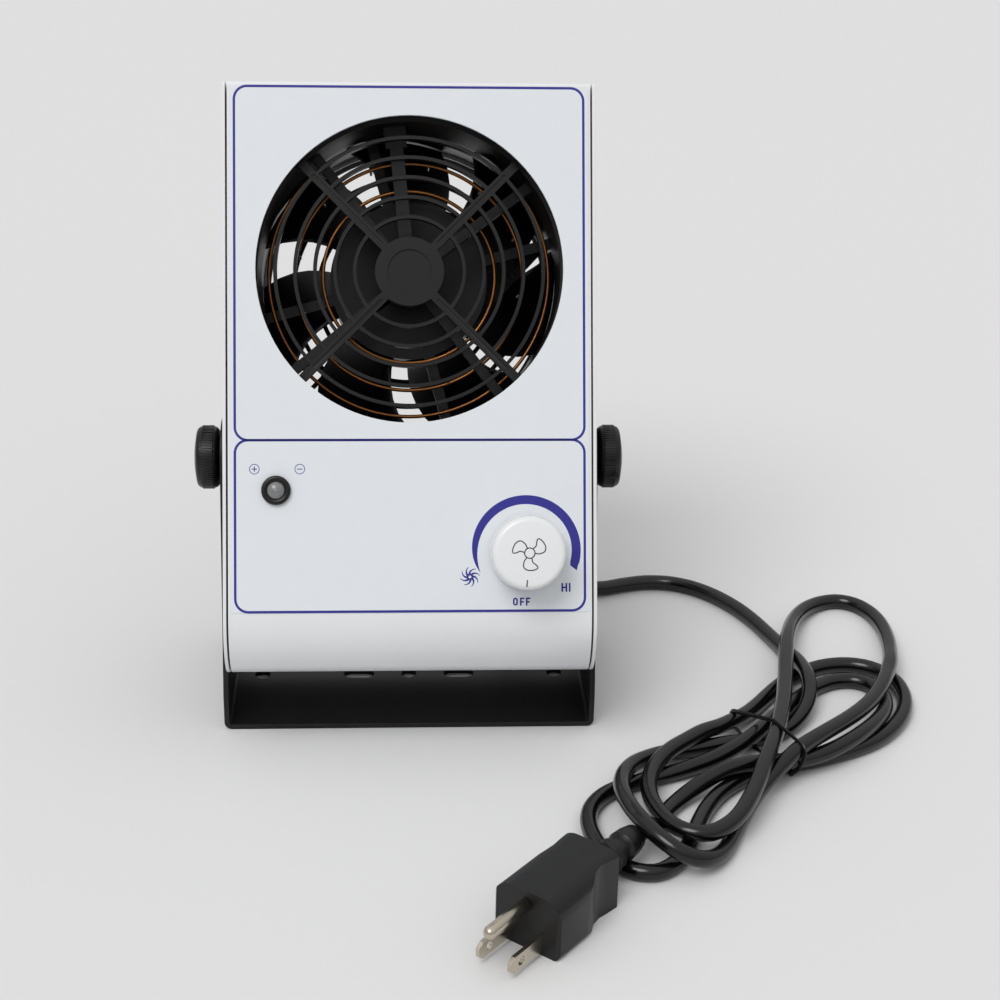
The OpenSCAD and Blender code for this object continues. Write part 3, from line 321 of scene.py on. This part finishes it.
# Moulded plug: black PVC over the contacts, satin from the mould, with nickel-plated
# brass blades and a folded ground pin.
plug_pvc = finish_named("PVC plug, moulded satin", "#0C0C0D", 0.4, 0.7, 0.02, "#131314", Specular_IOR_Level=0.4)
plug = eased("plug_body", "moulded_plug", 0.0007, plug_pvc, 28)
nickel = finish_named("nickel-plated brass, stamped", "#CFC6B8", 0.24, 2.0, 0.01, "#B4A892", Metallic=1.0)
blades = eased("plug_blades", "plug_blades_plated", 0.0002, nickel)
ground_pin = eased("plug_ground_pin", "ground_pin_plated", 0.0, nickel)

# --- yoke ----------------------------------------------------------------------
# One strip of 2 mm steel, laser cut and bent to a U, with a fine black powder coat.
black_powder = finish_named("black powder coat, fine texture", "#090909", 0.48, 0.6, 0.02, "#101010",
                            Specular_IOR_Level=0.4)
eased("yoke_bracket", "bent_yoke", 0.0003, black_powder)

# --- housing shells ------------------------------------------------------------
# Two folded sheets of 1.2 mm steel in gloss white powder coat, which leaves a
# faint orange peel; the face shell rolls under at the front.
white_powder = finish_named("white powder coat, gloss", "#E4E5E7", 0.3, 2.2, 0.012, "#E0E1E3")
eased("front_shell", "face_shell", 0.00025, white_powder)
eased("rear_shell", "back_shell", 0.00025, white_powder)
film_print = finish_named("printed polycarbonate film, velvet", "#DFE3E7", 0.4, 0.5, 0.004, "#DCE0E5")
film = eased("face_film", "face_film_sheet", 0.0, film_print)
# the film is flat, so no shading runs across its holes
film.data.polygons.foreach_set("use_smooth", [False] * len(film.data.polygons))

# --- face print ----------------------------------------------------------------
# Blue screen-printed ink on the film: two frames with round corners, the tapered
# speed scale, the polarity signs, a small fan sign and the two speed words.
lean, pivot_height = math.radians(25), 0.097
film_top = 0.00025


def on_face(x, rise, out):
    """Row-frame points from distances right of the middle, above the pivot and out of the face, in metres:
    a turn by the housing's lean about the pivot, which lies 40 mm behind the face."""
    y = -np.asarray(out, float) - 0.040
    x, rise = np.asarray(x, float), np.asarray(rise, float)
    return np.stack(np.broadcast_arrays(x, y * math.cos(lean) + rise * math.sin(lean),
                                        pivot_height - y * math.sin(lean) + rise * math.cos(lean)), -1)


def inked(path, width, closed=False, out=film_top, thick=0.00004):
    """Line of ink along a path of (x, rise) in mm: four edges at half the width to each side, below and above
    the surface; returns points and faces."""
    p = np.asarray(path, float) / 1000
    w = np.broadcast_to(np.asarray(width, float) / 2000, len(p))[:, None]
    d = (np.roll(p, -1, 0) - np.roll(p, 1, 0)) if closed else np.gradient(p, axis=0)
    d /= np.linalg.norm(d, axis=1)[:, None]
    s = np.stack([-d[:, 1], d[:, 0]], 1) * w
    ring = [(p + s, -0.00002), (p - s, -0.00002), (p - s, thick), (p + s, thick)]
    pts = np.stack([on_face(q[:, 0], q[:, 1], out + h) for q, h in ring], 1).reshape(-1, 3)
    n = len(p)
    i, j = np.arange(n if closed else n - 1)[:, None], np.arange(4)[None]
    f = np.stack([i * 4 + j, ((i + 1) % n) * 4 + j, ((i + 1) % n) * 4 + (j + 1) % 4, i * 4 + (j + 1) % 4], -1)
    f = f.reshape(-1, 4).tolist()
    if not closed:
        f += [[0, 1, 2, 3], [4 * n - 1, 4 * n - 2, 4 * n - 3, 4 * n - 4]]
    return pts, f


def printed(name, lines, material, body="housing"):
    """Joins inked lines into one piece."""
    pts, faces, base = [], [], 0
    for p, f in lines:
        pts.append(p)
        faces += [[v + base for v in q] for q in f]
        base += len(p)
    return mesh_piece(name, np.vstack(pts), faces, material, body, smooth=False)


def rounded_frame(x0, y0, x1, y1, r, steps=10):
    """Rectangle whose corners are quarter circles of radius r."""
    a = np.linspace(0, np.pi / 2, steps)
    mid = [(x1 - r, y1 - r), (x0 + r, y1 - r), (x0 + r, y0 + r), (x1 - r, y0 + r)]
    return np.vstack([np.stack([cx + r * np.cos(a + k * np.pi / 2), cy + r * np.sin(a + k * np.pi / 2)], 1)
                      for k, (cx, cy) in enumerate(mid)])


def ring(cx, cy, r, n=48):
    """Circle as a closed path."""
    a = np.linspace(0, 2 * np.pi, n, endpoint=False)
    return np.stack([cx + r * np.cos(a), cy + r * np.sin(a)], 1)


ink_blue = finish_named("screen ink, blue", "#232189", 0.45, 0.4, 0.003, "#2B2A86")
lines = [inked(rounded_frame(-63.5, 5.0, 63.5, 133.4, 4.7), 0.9, True),
         inked(rounded_frame(-63.5, -57.3, 63.5, 5.0, 4.7), 0.9, True)]
sweep = np.linspace(0, 1, 90)
angle = np.radians(206 - 228 * sweep)
scale_w = 3.3 * (1 - np.exp(-8 * sweep)) * np.clip((1 - sweep) / 0.024, 0.02, 1)
outer = 20 - 1.5 * np.exp(-14 * sweep)
middle = outer - scale_w / 2
lines.append(inked(np.stack([42 + middle * np.cos(angle), -35.2 + middle * np.sin(angle)], 1), scale_w))
for x, plus in ((-56.5, True), (-40.1, False)):
    lines.append(inked(ring(x, -5.5, 1.75), 0.24, True))
    lines.append(inked([(x - 0.95, -5.5), (x + 0.95, -5.5)], 0.32))
    if plus:
        lines.append(inked([(x, -6.45), (x, -4.55)], 0.32))
reach = np.linspace(0.15, 1, 8)
for k in range(8):
    a = k * np.pi / 4 + 0.3 - 0.95 * reach ** 1.6
    lines.append(inked(np.stack([21.5 + 3.6 * reach * np.cos(a), -44.9 + 3.6 * reach * np.sin(a)], 1),
                       0.95 * (1.05 - reach) + 0.12))
bold = 0.58
for x in (41.2, 43.35):
    x -= 1.2
    lines += [inked([(x, -55.45), (x, -52.55)], bold), inked([(x, -52.84), (x + 1.3, -52.84)], bold),
              inked([(x, -54.1), (x + 1.1, -54.1)], bold)]
lines.append(inked(rounded_frame(37.45, -55.15, 38.65, -52.85, 0.55, 5), bold, True))
lines += [inked([(x, -50.5), (x, -47.3)], 0.62) for x in (55.2, 56.7, 57.9)]
lines.append(inked([(55.2, -48.9), (56.7, -48.9)], 0.6))
printed("face_print", lines, ink_blue)

# --- speed knob ----------------------------------------------------------------
# Push-on knob moulded in white ABS, polished, with a black printed fan sign and a
# short pointer line.
white_abs = finish_named("ABS, moulded polished white", "#E6E7E8", 0.25, 6.0, 0.01)
eased("speed_knob", "white_knob", 0.0, white_abs, 40)
knob_out, kx, kz = 0.01725, 42.2, -36.0
black_ink = finish_named("pad print, black", "#111111", 0.4, 0.4, 0.003)
petal = np.array([(1.27, 1.62), (2.3, 2.6), (2.54, 4.16), (3.15, 5.13), (4.31, 4.52), (5.3, 3.2), (5.72, 1.9),
                  (5.3, 0.5), (3.55, -0.25), (1.9, -0.1)])
marks = [inked(ring(kx, kz, 1.85), 0.38, True, knob_out)]
for k in range(3):
    c, s = math.cos(k * 2 * math.pi / 3), math.sin(k * 2 * math.pi / 3)
    marks.append(inked(through(petal, 0.25) @ np.array([[c, s], [-s, c]]) + [kx, kz], 0.38, False, knob_out))
marks.append(inked([(kx - 0.88, kz - 9.6), (kx - 1.08, kz - 12.0)], 0.42, False, knob_out))
printed("knob_print", marks, black_ink, "speed_knob_body")

# --- indicator -----------------------------------------------------------------
# Snap-in lamp: black nylon bezel and a frosted clear lens over an unlit lamp; two darker grey rings at the lens rim
# are painted shade.
black_nylon = finish_named("nylon, moulded black", "#070707", 0.34, 1.2, 0.012, "#0D0D0D", Specular_IOR_Level=0.4)
eased("indicator_bezel", "lamp_bezel", 0.0, black_nylon)
frosted = finish_named("acrylic lens, frosted grey", "#7B7C7D", 0.3, 0.5, 0.05, "#5B5C5D", Coat_Weight=0.5)
eased("indicator_lens", "lamp_lens", 0.0, frosted, 50)
# Two darker grey rings inked on the lens: painted shade at its rim, not a part of the lens.
rim_shade_ink = finish_named("painted shade at the lens rim", "#4A4B4C", 0.3)
lamp_x, lamp_z, lamp_out = -48.7, -13.2, 0.0022
printed("painted_rim_shade", [inked(ring(lamp_x, lamp_z, r), width, True, lamp_out) for r, width in ((2.9, 0.35), (3.9, 0.55))],
        rim_shade_ink)

# --- guards and emitter --------------------------------------------------------
# Finger guard and duct moulded in black nylon; copper rings and steel needles sit
# on the struts behind it; the fan turns in its own moulded frame.
eased("outlet_guard", "finger_guard", 0.00035, black_nylon)
strut_nylon = finish_named("glass-filled nylon, moulded dark grey", "#1B1B1C", 0.45, 0.8, 0.02, "#242425",
                           Specular_IOR_Level=0.4)
eased("emitter_carrier", "emitter_duct", 0.0002, strut_nylon)
copper = finish_named("copper wire, drawn", "#A8703F", 0.3, 1.0, 0.01, "#7E5230", Metallic=1.0)
for node, name in (("outer_earth_ring", "outer_ring_wire"), ("emitter_ring", "emitter_ring_wire"),
                   ("inner_earth_ring", "inner_ring_wire")):
    eased(node, name, 0.0, copper, 60)
steel = finish_named("stainless steel, ground", "#B9BABC", 0.3, 0.6, 0.01, Metallic=1.0)
finish_node(steel, "emitter_needles", "fan_shaft", "potentiometer_shaft", "left_clamp_stud", "right_clamp_stud")
fan_pbt = finish_named("PBT, moulded black", "#060606", 0.36, 1.0, 0.012, "#0A0A0A", Specular_IOR_Level=0.35)
eased("fan_impeller", "fan_blades", 0.0, fan_pbt)
eased("fan_frame", "fan_frame_moulding", 0.0002, fan_pbt)
eased("rear_guard", "rear_wire_guard", 0.0004, black_powder)

# --- clamp knobs ---------------------------------------------------------------
# Knurled discs moulded in black nylon on the pivot studs, with fibre washers.
for node, name in (("left_clamp_knob", "left_knurled_knob"), ("right_clamp_knob", "right_knurled_knob")):
    eased(node, name, 0.0, black_nylon, 20)
fibre = finish_named("vulcanised fibre, grey", "#2E2E2F", 0.8, 0.4, 0.03)
finish_node(fibre, "friction_washers")

# --- strain relief and inner parts ---------------------------------------------
# The bush and the inner parts keep their cut shapes; each gets its own finish.
eased("cord_strain_relief", "strain_relief_bush", 0.0, cord_pvc, 50)
finish_node(cord_pvc, "cord_inlet")
zinc = finish_named("zinc-plated steel", "#B8BDC2", 0.32, 0.8, 0.01, "#A5A79A", Metallic=1.0)
finish_node(zinc, "guard_spacers", "stud_nuts", "fan_screws", "fan_nuts", "module_screws", "board_screws",
            "potentiometer_nut", "housing_screws", "speed_potentiometer", "rotor_cage", "mains_fuse")
brass = finish_named("brass, turned", "#B59A5B", 0.3, 0.8, 0.01, "#9C8144", Metallic=1.0)
finish_node(brass, "guard_studs", "board_standoffs", "pivot_inserts", "earth_stud", "earth_nut")
finish_node(copper, "stator_windings", "suppression_choke")
bronze = finish_named("sintered bronze", "#8C6B3C", 0.5, 0.4, 0.02, "#755832", Metallic=1.0)
finish_node(bronze, "fan_bearings")
laminate = finish_named("silicon steel laminations", "#77787A", 0.45, 0.5, 0.02, "#6A6B6D", Metallic=1.0)
finish_node(laminate, "stator_core")
potting = finish_named("epoxy potting, black", "#17171A", 0.3, 4.0, 0.05, "#202024")
finish_node(potting, "high_voltage_module", "speed_triac")
board_green = finish_named("FR4 board, green solder mask", "#1E5A34", 0.35, 1.5, 0.01, "#184A2B")
finish_node(board_green, "control_board")
film_yellow = finish_named("film capacitor case, yellow", "#C8A62C", 0.4, 1.0, 0.01)
finish_node(film_yellow, "filter_capacitor")
finish_node(black_nylon, "indicator_nut")
ivory = finish_named("polyamide terminal, ivory", "#CFCAB8", 0.45, 0.8, 0.02, "#C4BEAA")
finish_node(ivory, "terminal_block")
